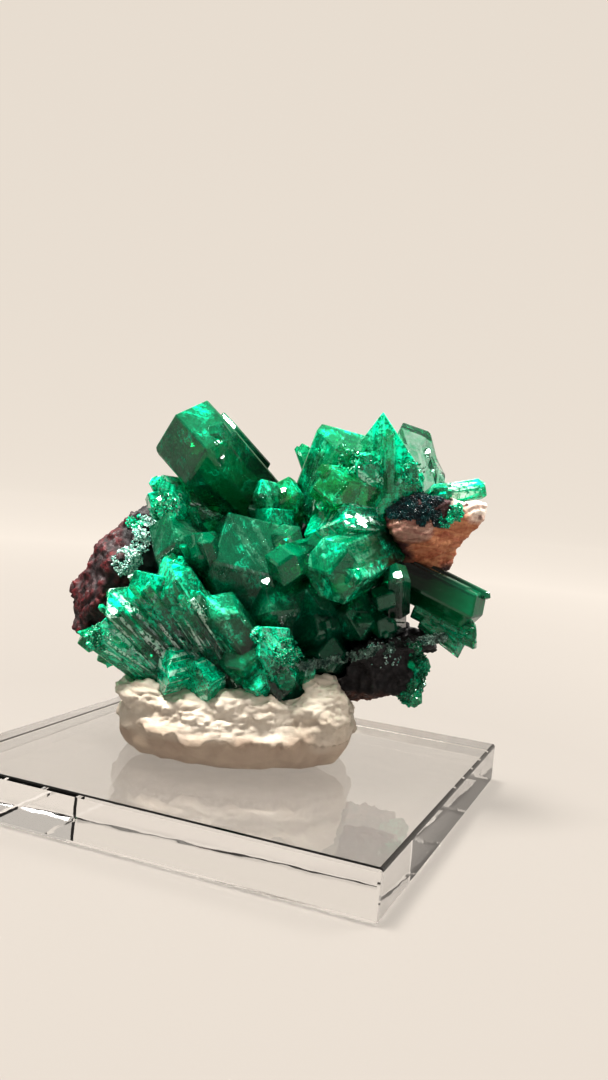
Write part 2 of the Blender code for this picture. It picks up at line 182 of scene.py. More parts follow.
FAN = [
    ((-5.0, -3.0, 11.0), (-16.8, -6.0, 19.0), 4.8, 15, "broken", "fractured"),
    ((-4.0, -3.5, 11.4), (-16.2, -6.8, 23.4), 5.2, 40, "point", "streaked"),
    ((-1.5, -3.5, 12.2), (-13.4, -7.2, 26.0), 5.6, 5, "point", "streaked"),
    ((0.5, -4.5, 12.4), (-10.2, -8.4, 26.4), 4.8, 30, "broken", "bright"),
    ((0.8, -5.0, 12.0), (-8.2, -9.4, 24.6), 4.0, 10, "point", "streaked"),
    ((3.4, -4.5, 13.4), (-5.4, -9.4, 24.0), 4.8, 55, "point", "veined", 6),
    ((-2.0, 1.5, 12.0), (-14.5, -2.5, 25.0), 7.0, 20, "point", "veined", 6),
    ((-4.0, -2.0, 16.0), (-10.0, -8.6, 14.9), 5.0, 20, "broken", "fractured", 5),
    ((-2.0, -3.0, 16.0), (-6.0, -9.4, 14.2), 4.6, 45, "broken", "fractured", 4),
    ((4.8, -2.5, 12.8), (1.0, -9.2, 21.2), 4.8, 10, "point", "bright", 6),
    ((1.5, -2.5, 12.6), (-1.8, -9.6, 18.6), 4.2, 35, "broken", "veined", 6),
    ((4.4, -2.5, 12.4), (3.6, -8.6, 17.6), 3.2, 50, "point", "bright", 4),
    ((2.0, -3.0, 12.0), (0.6, -9.4, 15.6), 2.8, 20, "broken", "bright", 4),
    ((5.6, -1.5, 13.0), (6.2, -6.8, 17.4), 2.6, 5, "point", "veined", 3),
]
CENTRE = [
    ((3.0, 3.0, 14.0), (-4.4, -6.0, 33.4), 10.0, 12, "point", "sparkling", 5),
    ((-5.0, 3.0, 18.0), (-10.6, -5.4, 32.4), 6.2, 40, "point", "sparkling", 3),
    ((4.0, 2.5, 16.0), (0.6, -7.0, 27.4), 7.6, 25, "point", "sparkling", 3),
    ((-3.5, 0.0, 22.0), (-7.2, -8.4, 30.4), 4.0, 20, "point", "clear", 1),
    ((-5.5, 0.0, 22.0), (-9.8, -7.2, 27.8), 4.0, 50, "point", "clear", 1),
    ((2.5, 2.0, 27.0), (3.0, -7.0, 31.0), 3.4, 20, "blunt", "sparkling", 1),
]
LOWER_MIDDLE = [
    ((8.0, 3.0, 15.5), (6.0, -6.0, 24.0), 5.8, 22, "point", "clear"),
    ((9.0, 2.5, 20.5), (5.4, -7.4, 25.6), 4.8, 48, "point", "clear"),
    ((10.0, 2.0, 16.6), (7.4, -6.0, 18.4), 4.2, 40, "point", "clear"),
    ((12.4, 3.0, 21.4), (9.8, -5.4, 23.0), 6.0, 35, "point"),
    ((16.0, 2.0, 21.4), (13.6, -4.4, 22.2), 3.6, 5, "point", "clear"),
]
RIGHT_PRISM = [
    ((10.8, 3.4, 29.4), (26.4, -1.6, 23.5), 5.0, 40, "blunt", "clear", 3),
    ((20.0, 0.0, 26.2), (22.6, -1.6, 27.0), 1.5, 20, "blunt", "clear", 0),
    ((18.5, 1.0, 23.6), (26.0, -1.2, 20.8), 2.6, 35, "broken", "bright", 6),
    ((19.5, 0.5, 22.4), (24.4, -1.0, 19.4), 2.4, 0, "broken", "bright", 5),
]
UPRIGHT_PAIR = [
    ((15.9, -2.6, 23.2), (15.2, -5.4, 29.2), 2.9, 30, "point", "clear", 1),
    ((16.2, -1.2, 24.8), (13.2, -6.0, 25.0), 2.8, 0, "point", "clear", 1),
]
LEDGE_CRYSTALS = [
    ((19.0, 2.0, 36.6), (25.2, 2.6, 38.2), 2.3, 12, "broken", "fractured"),
    ((22.0, 2.4, 36.6), (25.4, 2.2, 39.0), 1.6, 40, "point", "fractured"),
    ((18.6, 2.2, 35.8), (20.5, -1.4, 38.0), 2.2, 25, "point", "fractured"),
]
LOW_RIGHT = [
    ((17.4, 1.5, 16.8), (21.0, -0.6, 17.0), 2.2, 10, "point"),
    ((17.4, 1.5, 15.2), (20.8, -0.4, 14.8), 2.4, 35, "point"),
    ((17.4, 1.5, 13.8), (20.4, 0.0, 12.4), 2.0, 5, "point"),
]
LOW_LEFT = [
    ((-16.6, 0.5, 17.4), (-20.4, -1.6, 15.8), 2.6, 15, "point"),
    ((-15.0, 0.0, 16.0), (-17.8, -2.6, 14.2), 2.6, 40, "point"),
]
REAR_LEFT = [
    ((-5.0, 7.0, 27.0), (-9.6, 13.6, 31.6), 4.6, 10, "point"),
    ((-3.0, 7.5, 25.0), (-4.4, 14.8, 26.4), 3.6, 35, "point"),
    ((-6.5, 7.0, 24.6), (-10.6, 12.2, 24.0), 3.0, 20, "broken"),
]
REAR_RIGHT = [
    ((9.0, 7.5, 28.0), (12.8, 14.0, 31.4), 4.2, 20, "point"),
    ((8.0, 7.5, 26.4), (6.4, 14.2, 28.8), 3.0, 45, "point"),
    ((9.5, 7.0, 26.4), (12.6, 13.2, 25.0), 3.4, 5, "broken"),
]


# Meshes

def ends_of(crystal):
    """Its foot, its tip, and the direction from the one to the other."""
    foot = Vector(crystal.foot)
    tip = Vector(crystal.tip)
    return foot, tip, (tip - foot).normalized()


def crystal_planes(crystal, rng):
    """The flat sides of one crystal, as a point and an outward direction each."""
    foot, tip, axis = ends_of(crystal)
    level = axis.cross(Vector((0, 0, 1))).normalized()

    def around(degrees):
        return Quaternion(axis, math.radians(crystal.twist + degrees)) @ level

    planes = [(foot, -axis)]
    for step in range(PRISM_SIDES):
        outward = around(360 / PRISM_SIDES * step)
        reach = crystal.across / 2 * rng.uniform(0.94, 1.04)
        planes.append((foot + outward * reach, outward))
    if crystal.end in CAP_SLOPES:
        slope = CAP_SLOPES[crystal.end]
        for step in range(END_FACES):
            lean = around(360 / END_FACES * step + 30)
            outward = axis * math.cos(slope) + lean * math.sin(slope)
            drop = crystal.across * rng.uniform(0.0, 0.1)
            planes.append((tip - axis * drop, outward))
    else:
        for step in range(BREAKS):
            lean = around(rng.uniform(0, 360))
            tilt = math.radians(rng.uniform(12, 38))
            outward = axis * math.cos(tilt) + lean * math.sin(tilt)
            planes.append((tip - axis * crystal.across * 0.15 * step, outward))
    return planes


def cut_off(solid, point, outward):
    """Cuts away what lies outside the plane and closes the cut."""
    cut = bmesh.ops.bisect_plane(
        solid,
        geom=solid.verts[:] + solid.edges[:] + solid.faces[:],
        dist=1e-5,
        plane_co=point,
        plane_no=outward,
        clear_outer=True,
    )
    rim = [item for item in cut["geom_cut"] if isinstance(item, bmesh.types.BMEdge)]
    if rim:
        bmesh.ops.edgeloop_fill(solid, edges=rim)


def add_solid(shape, planes, bevel):
    """Adds the closed solid inside the planes, its edges worn by the bevel, to a bmesh."""
    solid = bmesh.new()
    bmesh.ops.create_cube(solid, size=WORK_CUBE)
    for point, outward in planes:
        cut_off(solid, point, outward)
    if bevel:
        bmesh.ops.recalc_face_normals(solid, faces=solid.faces[:])
        worn = []
        for edge in solid.edges:
            outward = (edge.link_faces[0].normal + edge.link_faces[1].normal).normalized()
            middle = (edge.verts[0].co + edge.verts[1].co) / 2
            worn.append((middle - outward * bevel, outward))
        for point, outward in worn:
            cut_off(solid, point, outward)
    bmesh.ops.recalc_face_normals(solid, faces=solid.faces[:])
    copies = [shape.verts.new(vertex.co) for vertex in solid.verts]
    solid.verts.index_update()
    for face in solid.faces:
        shape.faces.new([copies[vertex.index] for vertex in face.verts])
    solid.free()


def new_object(name, data):
    thing = bpy.data.objects.new(name, data)
    bpy.context.scene.collection.objects.link(thing)
    return thing


def mesh_from(shape, name):
    mesh = bpy.data.meshes.new(name)
    shape.to_mesh(mesh)
    shape.free()
    return mesh


def new_piece(name, mesh, material):
    piece = new_object(name, mesh)
    mesh.materials.clear()
    mesh.materials.append(material)
    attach(piece, "root")
    return piece


def bake(thing):
    """Replaces the object's mesh by what its modifiers make of it."""
    graph = bpy.context.evaluated_depsgraph_get()
    baked = bpy.data.meshes.new_from_object(thing.evaluated_get(graph))
    thing.modifiers.clear()
    thing.data = baked


def side_crystals(crystal, habit, rng):
    """Smaller crystals that grow beside the main one, nearly parallel to it.

    There are as many as the crystal says, or else as its habit says.
    """
    foot, tip, axis = ends_of(crystal)
    along = tip - foot
    level = axis.cross(Vector((0, 0, 1))).normalized()
    grown = []
    count = habit.side_crystals if crystal.sides is None else crystal.sides
    for _ in range(count):
        width = crystal.across * rng.uniform(*habit.width_share)
        turn = Quaternion(axis, rng.uniform(0, 2 * math.pi))
        place = turn @ level * (crystal.across / 2 - width * rng.uniform(0.25, 0.55))
        start = rng.uniform(0.15, 0.45)
        end = rng.uniform(*habit.reach)
        sway = Vector([rng.uniform(-1, 1) for _ in range(3)]) * habit.spread
        outward = turn @ level * rng.uniform(0, habit.spread)
        grown.append(Crystal(
            foot + along * start + place,
            foot + along * end + place + (sway * 0.4 + outward) * along.length * (end - start),
            width,
            crystal.twist + rng.uniform(-4, 4),
            "point" if rng.random() < 0.8 else "broken",
            crystal.finish,
        ))
    return grown


def inside(point, planes, margin):
    return all((point - place).dot(outward) < -margin for place, outward in planes)


def add_veil(shape, planes, crystal, rng):
    """A thin gap inside a crystal, as a healed fracture leaves it.

    Says whether the gap fits inside the crystal. One that doesn't is left out.
    """
    foot, tip, axis = ends_of(crystal)
    size = crystal.across * rng.uniform(0.08, 0.3)
    middle = foot.lerp(tip, rng.uniform(0.45, 0.98))
    middle += Vector([rng.uniform(-0.5, 0.5) for _ in range(3)]) * crystal.across
    tilt = Quaternion(Vector([rng.gauss(0, 1) for _ in range(3)]).normalized(), rng.uniform(0.3, 1.2))
    face = tilt @ axis
    one = face.orthogonal().normalized()
    two = face.cross(one)
    rim = []
    for step in range(VEIL_CORNERS):
        angle = 2 * math.pi * step / VEIL_CORNERS
        reach = size * rng.uniform(0.5, 1.0)
        bend = face * size * 0.12 * rng.uniform(-1, 1)
        rim.append(middle + one * math.cos(angle) * reach + two * math.sin(angle) * reach + bend)
    if not all(inside(point, planes, 0.12) for point in rim):
        return False
    upper = shape.verts.new(middle + face * VEIL_THICKNESS / 2)
    lower = shape.verts.new(middle - face * VEIL_THICKNESS / 2)
    ring = [shape.verts.new(point) for point in rim]
    for step in range(VEIL_CORNERS):
        after = (step + 1) % VEIL_CORNERS
        # The faces look into the gap, so the solid around it stays closed.
        shape.faces.new((upper, ring[after], ring[step]))
        shape.faces.new((lower, ring[step], ring[after]))
    return True


def joined(thing, planes, bevels):
    """Joins the solid inside the planes to this one, and says whether that went well.

    The bevels are tried in turn, and the first that leaves the joint surface
    closed is kept.
    """
    before = thing.data
    for bevel in bevels:
        other = solid_object(planes, bevel)
        step = thing.modifiers.new("join", "BOOLEAN")
        step.operation = "UNION"
        step.solver = "EXACT"
        step.object = other
        bake(thing)
        bpy.data.objects.remove(other, do_unlink=True)
        if is_closed(thing.data):
            bpy.data.meshes.remove(before)
            return True
        thing.data = before
    return False


def is_closed(mesh):
    shape = bmesh.new()
    shape.from_mesh(mesh)
    closed = all(len(edge.link_faces) == 2 for edge in shape.edges)
    shape.free()
    return closed


def solid_object(planes, bevel):
    shape = bmesh.new()
    add_solid(shape, planes, bevel)
    return new_object("solid", mesh_from(shape, "solid"))


def mark_grain(mesh, grown):
    """Gives each face corner its place on its own crystal, as the material reads it.

    In "grain" X runs across the face, Y along the crystal from its tip, both in
    millimetres, and Z is a number of the crystal's own. "depth" is the distance
    from the tip in crystal widths, and "finish" the row of FINISHES.
    """
    middles = np.array([face.center for face in mesh.polygons])
    nearest = np.full(len(middles), np.inf)
    owner = np.zeros(len(middles), int)
    for index, (crystal, planes) in enumerate(grown):
        places = np.array([place for place, outward in planes])
        outwards = np.array([outward for place, outward in planes])
        depth = np.max(middles @ outwards.T - np.sum(places * outwards, axis=1), axis=1)
        closer = np.abs(depth) < nearest
        nearest[closer] = np.abs(depth[closer])
        owner[closer] = index
    mesh.attributes.new("grain", "FLOAT_VECTOR", "CORNER")
    mesh.attributes.new("depth", "FLOAT", "CORNER")
    mesh.attributes.new("finish", "FLOAT_VECTOR", "FACE")
    grain, depths, finish = [mesh.attributes[label] for label in ("grain", "depth", "finish")]
    for face in mesh.polygons:
        crystal, planes = grown[owner[face.index]]
        finish.data[face.index].vector = FINISHES[crystal.finish]
        _, tip, axis = ends_of(crystal)
        across = axis.cross(face.normal)
        if across.length < 0.2:
            across = axis.orthogonal()
        across.normalize()
        own = (owner[face.index] * 0.377) % 1.0
        for corner in face.loop_indices:
            place = mesh.vertices[mesh.loops[corner].vertex_index].co - tip
            grain.data[corner].vector = (place.dot(across), place.dot(axis), own)
            depths.data[corner].value = -place.dot(axis) / max(crystal.across, THIN_CRYSTAL)


def crystal_piece(name, rows, habit, material, seed):
    """One group of crystals and its side crystals, as a piece of the given name."""
    rng = random.Random(seed)
    crystals = [Crystal(*row) for row in rows]
    main_planes = [crystal_planes(crystal, rng) for crystal in crystals]
    grown = list(zip(crystals, main_planes))
    whole = solid_object(main_planes[0], MAIN_BEVEL)
    for planes in main_planes[1:]:
        if not joined(whole, planes, (MAIN_BEVEL, MAIN_BEVEL * 0.6, 0.0)):
            print("a crystal couldn't be joined to", name)
    for crystal in crystals:
        for small in side_crystals(crystal, habit, rng):
            small_planes = crystal_planes(small, rng)
            if joined(whole, small_planes, (SMALL_BEVEL, 0.0)):
                grown.append((small, small_planes))
    mesh = whole.data
    mark_grain(mesh, grown)
    shape = bmesh.new()
    shape.from_mesh(mesh)
    for crystal, planes in zip(crystals, main_planes):
        tries = 0
        left = habit.veils
        while left and tries < habit.veils * TRIES_PER_VEIL:
            left -= add_veil(shape, planes, crystal, rng)
            tries += 1
    shape.to_mesh(mesh)
    shape.free()
    bpy.data.objects.remove(whole, do_unlink=True)
    mesh.transform(PLACE)
    return new_piece(name, mesh, material)


def weathered(name, solid_name, voxel, height, shares, material):
    """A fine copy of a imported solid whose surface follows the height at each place.

    The shares at each place say how much of each tone the material shows there.
    """
    mesh = frame["nodes"][solid_name].data.copy()
    mesh.transform(PLACE.inverted())
    thing = new_object("rough", mesh)
    skin = thing.modifiers.new("skin", "REMESH")
    skin.mode = "VOXEL"
    skin.voxel_size = voxel
    bake(thing)
    mesh = thing.data
    normals = [vertex.normal.copy() for vertex in mesh.vertices]
    tones = mesh.attributes.new("tones", "FLOAT_VECTOR", "POINT")
    for vertex, normal, tone in zip(mesh.vertices, normals, tones.data):
        tone.vector = shares(vertex.co, normal)
        vertex.co += normal * height(vertex.co, normal)
    bpy.data.objects.remove(thing, do_unlink=True)
    mesh.transform(PLACE)
    mesh.shade_smooth()
    piece = new_piece(name, mesh, material)
    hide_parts(solid_name)
    return piece


def rock_height(place, normal):
    """Rounded lumps with grains and dust on them, in millimetres."""
    broad = noise.turbulence(place * 0.22, 3, False) - 0.45
    lumps = 0.5 - noise.voronoi(place * 0.8)[0][0]
    grains = 0.42 - noise.voronoi(place * 1.7)[0][0]
    dust = noise.noise(place * 4.0)
    return 0.1 + 0.4 * broad + 0.75 * lumps + 0.42 * grains + 0.08 * dust


def ledge_height(place, normal):
    """Sloping layers at the sides and pits on top, in millimetres."""
    layer = place.z * 0.9 - place.x * 0.35 + 0.8 * noise.noise(place * 0.3)
    steps = abs((layer * 1.3) % 1.0 - 0.5)
    broad = noise.noise(place * 0.5)
    pits = min(noise.voronoi(place * 1.5)[0][0], 0.35) - 0.35
    fine = noise.turbulence(place * 2.5, 3, False) - 0.45
    top = max(0.0, normal.z)
    return 0.12 + 0.35 * steps * (1 - top) + 0.25 * broad + 0.9 * pits * top + 0.14 * fine


def putty_height(place, normal):
    """Smooth below, with torn and folded lips where the crystals were pressed in."""
    flat = Vector((place.x, place.y, 0.0))
    ripple = noise.noise(flat * 0.3) + noise.noise(flat * 0.9) * 0.5 + noise.noise(flat * 2.2) * 0.22
    lips = 0.0
    for level, overhang in PUTTY_LIPS:
        edge = level + ripple * 1.3 + 0.6 * noise.noise(flat * 0.5 + Vector((level, 0.0, 0.0)))
        fade = ramp(edge + 2.6 - place.z, 0.0, 2.6)
        lips += overhang * ramp(place.z, edge - 0.12, edge + 0.12) * fade
    upper = ramp(place.z, 8.4, 10.4)
    crease = max(0.0, 1 - abs(noise.noise(flat * 0.5 + Vector((0, 0, place.z * 1.3)))) * 4.0)
    laid = Vector((place.x * 0.3, place.y * 0.3, place.z * 0.62))
    torn = 2.4 * noise.noise(laid) + 0.7 * noise.noise(laid * 3.5)
    flakes = 0.26 * (math.floor(torn) + ramp(torn - math.floor(torn), 0.75, 1.0))
    smooth = noise.noise(place * 0.25)
    fine = noise.noise(place * 2.5)
    return 0.04 + lips + 0.14 * smooth + (flakes - 0.2 * crease + 0.06 * fine) * upper


def ramp(value, low, high):
    return min(1.0, max(0.0, (value - low) / (high - low)))


def near(place, x, z, wide, high):
    """Falls from 1 at a place on the front, given by X and Z, to 0 at the ellipse around it."""
    return max(0.0, 1.0 - math.hypot((place.x - x) / wide, (place.z - z) / high))


def rock_shares(place, normal):
    """Red, grey and brown of the rock, with painted shade darkening its hollows."""
    ragged = 1.6 * noise.noise(place * 0.5)
    left = ramp(-place.x, 11.0 + ragged, 13.0 + ragged)
    outer = ramp(ragged - place.x, 15.8, 17.4)
    low = ramp(25.0 + ragged - place.z, 0.0, 1.4)
    # Painted shade in the hollows between the lumps dims the red and the brown
    painted_hollow_shade = ramp(noise.voronoi(place * 0.8)[0][0], 0.35, 0.62)
    red = left * max(outer, low) * (1 - 0.85 * painted_hollow_shade)
    shelf = ramp(place.x, 4.0, 7.0) * ramp(normal.z, 0.3, 0.7)
    grey = ramp(noise.noise(place * 0.8) + 0.3 * left * ramp(place.z, 27.0, 29.0) + 0.6 * shelf, 0.3, 0.6)
    brown = ramp(place.x, 6.0, 9.0) * ramp(13.6 + 0.5 * ragged - place.z, 0.0, 1.2)
    return Vector((red, grey, brown * (1 - 0.6 * painted_hollow_shade)))


def ledge_shares(place, normal):
    """Cream, dark and pink of the ledge, whose body is orange tan."""
    ragged = 0.9 * noise.noise(place * 0.6)
    cream = ramp(place.z + 0.25 * (place.x - 20.0) + ragged, 35.4, 36.6)
    under = ramp(28.9 + ragged - place.z, 0.0, 0.7)
    pits = ramp(0.5 - noise.voronoi(place * 1.1)[0][0], 0.12, 0.24) * cream
    left = ramp(17.4 + ragged - place.x, 0.0, 0.8)
    left = max(left, ramp(21.6 + ragged - place.x, 0.0, 0.8) * ramp(place.z, 33.8, 34.6))
    lens = ramp(near(place, 16.7, 33.0, 3.0, 2.0), 0.08, 0.25)
    return Vector((cream, max(under, pits, left * (1 - lens)), lens))


def putty_shares(place, normal):
    """Share of painted light on the top (painted shade lower down), dust and tint of the putty."""
    smear = noise.noise(Vector((place.x * 0.25, place.y * 0.25, place.z * 0.7)))
    # Painted light on the top, above painted shade lower down
    painted_lit_top = ramp(place.z + 1.5 * smear, 7.5, 9.5)
    dust = ramp(noise.noise(place * 1.3), 0.45, 0.6)
    return Vector((painted_lit_top, dust, ramp(noise.noise(place * 0.35), 0.0, 0.5)))


# Druse

Patch = namedtuple("Patch", "eye aim spread count width")


def seen(right, down):
    """About where the front of the specimen is at a pixel of the photograph."""
    across = (right - PHOTO_SIZE[0] / 2) / FOCAL_PIXELS
    up = (PHOTO_SIZE[1] / 2 - down) / FOCAL_PIXELS
    direction = CAMERA_FORWARD + CAMERA_RIGHT * across + CAMERA_UP * up
    return CAMERA_PLACE + direction * FRONT_DISTANCE * METRES


def front_patch(right, down, spread, count, width):
    """A patch looked at from the camera, its middle at a pixel of the photograph."""
    return Patch(CAMERA_PLACE, seen(right, down), spread, count, width)


def far_patch(eye, aim, spread, count, width):
    """A patch looked at from a place of its own, both in the specimen's millimetres."""
    return Patch(PLACE @ Vector(eye), PLACE @ Vector(aim), spread, count, width)


def surface_of(pieces):
    """The pieces' faces, for rays to be cast at."""
    vertices = []
    faces = []
    for piece in pieces:
        first = len(vertices)
        vertices.extend(piece.matrix_world @ vertex.co for vertex in piece.data.vertices)
        faces.extend([first + index for index in face.vertices] for face in piece.data.polygons)
    return BVHTree.FromPolygons(vertices, faces)


def add_ring(shape, middle, axis, turn, reach, wobble, count, rng):
    """Corners around the axis, each at the reach times a share from the wobble's range."""
    level = axis.orthogonal().normalized()
    ring = []
    for step in range(count):
        outward = Quaternion(axis, math.radians(360 / count * step + turn)) @ level
        ring.append(shape.verts.new(middle + outward * (reach * rng.uniform(*wobble))))
    return ring


def add_needle(shape, foot, axis, width, length, rng):
    """A tiny six-sided crystal with a pointed end."""
    level = axis.orthogonal().normalized()
    turn = rng.uniform(0, 60)
    shoulder = 0.62 + rng.uniform(-0.1, 0.15)
    lower, upper = [
        add_ring(shape, foot + axis * length * along, axis, turn, width / 2, (0.85, 1.15), PRISM_SIDES, rng)
        for along in (-0.3, shoulder)
    ]
    tip = shape.verts.new(foot + axis * length + level * width * rng.uniform(-0.15, 0.15))
    shape.faces.new(reversed(lower))
    for step in range(PRISM_SIDES):
        after = (step + 1) % PRISM_SIDES
        shape.faces.new((lower[step], lower[after], upper[after], upper[step]))
        shape.faces.new((upper[step], upper[after], tip))


def druse(name, hosts, patches, lean, material, seed, finish="fractured"):
    """A crust of tiny crystals on what each patch is seen to lie on.

    The needles stand on the first surface that is met near the patch's aim, apart
    from bare spots, and lean about that much from its normal.
    """
    rng = random.Random(seed)
    surface = surface_of(hosts)
    shape = bmesh.new()
    for patch in patches:
        ahead = (patch.aim - patch.eye).normalized()
        side = ahead.orthogonal().normalized()
        other = ahead.cross(side)
        for _ in range(patch.count):
            angle = rng.uniform(0, 2 * math.pi)
            reach = patch.spread * METRES * math.sqrt(rng.random())
            aim = patch.aim + (side * math.cos(angle) + other * math.sin(angle)) * reach
            place, normal, _, _ = surface.ray_cast(patch.eye, (aim - patch.eye).normalized())
            if place is None or (place - patch.aim).length > FARTHEST_HIT:
                continue
            if noise.noise(place * BARE_SPOTS_SCALE) < BARE_SPOTS_LEVEL:
                continue
            if normal.dot(aim - patch.eye) > 0:
                normal = -normal
            sway = Vector([rng.gauss(0, 1) for _ in range(3)]) * lean
            width = rng.uniform(*patch.width) * METRES
            length = width * rng.uniform(0.9, 2.0)
            add_needle(shape, place, (normal + sway).normalized(), width, length, rng)
    mesh = mesh_from(shape, name)
    grain = mesh.attributes.new("grain", "FLOAT_VECTOR", "CORNER")
    for face in mesh.polygons:
        for corner in face.loop_indices:
            place = mesh.vertices[mesh.loops[corner].vertex_index].co / METRES
            grain.data[corner].vector = (place.x, place.z * 3, face.index % 7 / 7)
    finishes = mesh.attributes.new("finish", "FLOAT_VECTOR", "FACE")
    for row in finishes.data:
        row.vector = FINISHES[finish]
    return new_piece(name, mesh, material)


def flat_faces(name, hosts, spots, material, seed):
    """Small flat crystal ends that turn the key light to the front.

    Each spot is a pixel of the photograph and a width in millimetres.
    """
    rng = random.Random(seed)
    surface = surface_of(hosts)
    shape = bmesh.new()
    for right, down, width in spots:
        aim = seen(right, down)
        place, _, _, _ = surface.ray_cast(CAMERA_PLACE, (aim - CAMERA_PLACE).normalized())
        if place is None:
            continue
        to_front = (CAMERA_PLACE - place).normalized()
        to_key = (Vector(KEY_PLACE) - place).normalized()
        axis = (to_front + to_key).normalized()
        turn = rng.uniform(0, 60)
        size = width * METRES
        lower, upper = [
            add_ring(shape, place + axis * size * along, axis, turn, size / 2, (0.6, 1.2), FLAT_CORNERS, rng)
            for along in (-0.5, 0.35)
        ]
        shape.faces.new(reversed(lower))
        shape.faces.new(upper)
        for step in range(FLAT_CORNERS):
            after = (step + 1) % FLAT_CORNERS
            shape.faces.new((lower[step], lower[after], upper[after], upper[step]))
    return new_piece(name, mesh_from(shape, name), material)


# Materials

def new_material(name):
    material = bpy.data.materials.new(name)
    material.use_nodes = True
    tree = material.node_tree
    shader = tree.nodes["Principled BSDF"]
    return material, tree, shader


def feed(tree, socket, value):
    """Links the socket where the value is a socket too, or else sets it."""
    if isinstance(value, bpy.types.NodeSocket):
        tree.links.new(value, socket)
    else:
        socket.default_value = value


def fill(tree, made, **values):
    """Sets a node's own settings and its inputs by name."""
    for key, value in values.items():
        if hasattr(made, key):
            setattr(made, key, value)
        else:
            feed(tree, made.inputs[key.replace("_", " ")], value)


def node(tree, kind, **values):
    made = tree.nodes.new(kind)
    fill(tree, made, **values)
    return made


def vectors(tree, operation, *values):
    made = node(tree, "ShaderNodeVectorMath", operation=operation)
    for socket, value in zip(made.inputs, values):
        feed(tree, socket, value)
    return made.outputs["Value" if operation in ("DOT_PRODUCT", "LENGTH") else "Vector"]


def millimetres(tree, stretch=(1, 1, 1)):
    """The place on the piece in millimetres, stretched as given."""
    place = node(tree, "ShaderNodeTexCoord").outputs["Object"]
    return vectors(tree, "MULTIPLY", place, tuple(share / METRES for share in stretch))


def noise_of(tree, place, scale, detail, roughness=0.55, distortion=0.0):
    made = node(tree, "ShaderNodeTexNoise", Vector=place, Scale=scale, Detail=detail,
                Roughness=roughness, Distortion=distortion)
    return made.outputs["Fac"]


def between(tree, value, low, high, to_low=0.0, to_high=1.0):
    """Brings the value from its range to another, and keeps it within the ends."""
    made = node(tree, "ShaderNodeMapRange", Value=value, From_Min=low, From_Max=high,
                To_Min=to_low, To_Max=to_high)
    return made.outputs["Result"]


def mixed(tree, share, one, two):
    """A colour between the two, by the share of the second."""
    made = node(tree, "ShaderNodeMix", data_type="RGBA")
    feed(tree, made.inputs["Factor"], share)
    colours = [socket for socket in made.inputs if socket.type == "RGBA"]
    for socket, colour in zip(colours, (one, two)):
        feed(tree, socket, (*colour, 1.0) if isinstance(colour, tuple) else colour)
    return next(socket for socket in made.outputs if socket.type == "RGBA")


def maths(tree, operation, *values):
    made = node(tree, "ShaderNodeMath", operation=operation)
    for socket, value in zip(made.inputs, values):
        feed(tree, socket, value)
    return made.outputs[0]


def bumped(tree, shader, height, distance_mm, strength):
    bump = node(tree, "ShaderNodeBump", Height=height, Strength=strength, Distance=distance_mm * METRES)
    fill(tree, shader, Normal=bump.outputs["Normal"])


def stored(tree, name, output="Vector"):
    """What a mesh holds under a name."""
    return node(tree, "ShaderNodeAttribute", attribute_name=name).outputs[output]


def split(tree, vector):
    return node(tree, "ShaderNodeSeparateXYZ", Vector=vector).outputs


def absorbing(tree, tint, density):
    inner = node(tree, "ShaderNodeVolumeAbsorption", Color=(*tint, 1.0), Density=density)
    fill(tree, tree.nodes["Material Output"], Volume=inner.outputs[0])


def mosaic(tree, grain, stretch):
    """Height in millimetres of flat spots on a crystal, each tilted its own way."""
    scaled = vectors(tree, "MULTIPLY", grain, stretch)
    spots = node(tree, "ShaderNodeTexVoronoi", Vector=scaled, Scale=1.0)
    reach = vectors(tree, "SUBTRACT", scaled, spots.outputs["Position"])
    tilt = vectors(tree, "SUBTRACT", spots.outputs["Color"], (0.5, 0.5, 0.5))
    return vectors(tree, "DOT_PRODUCT", reach, tilt)


def crystal_relief(tree, grain, lines, fractured):
    """Height of a crystal's tilted flats, chips and grooves, in millimetres."""
    flats = maths(tree, "MULTIPLY", mosaic(tree, grain, (0.8, 0.3, 9.0)),
                  between(tree, fractured, 0.0, 1.0, 0.05, 0.34))
    chips = maths(tree, "MULTIPLY", mosaic(tree, grain, (2.4, 1.1, 9.0)),
                  between(tree, fractured, 0.1, 1.0, 0.0, 0.16))
    grooves = maths(tree, "MULTIPLY", lines, 0.03)
    return maths(tree, "ADD", maths(tree, "ADD", flats, chips), grooves)


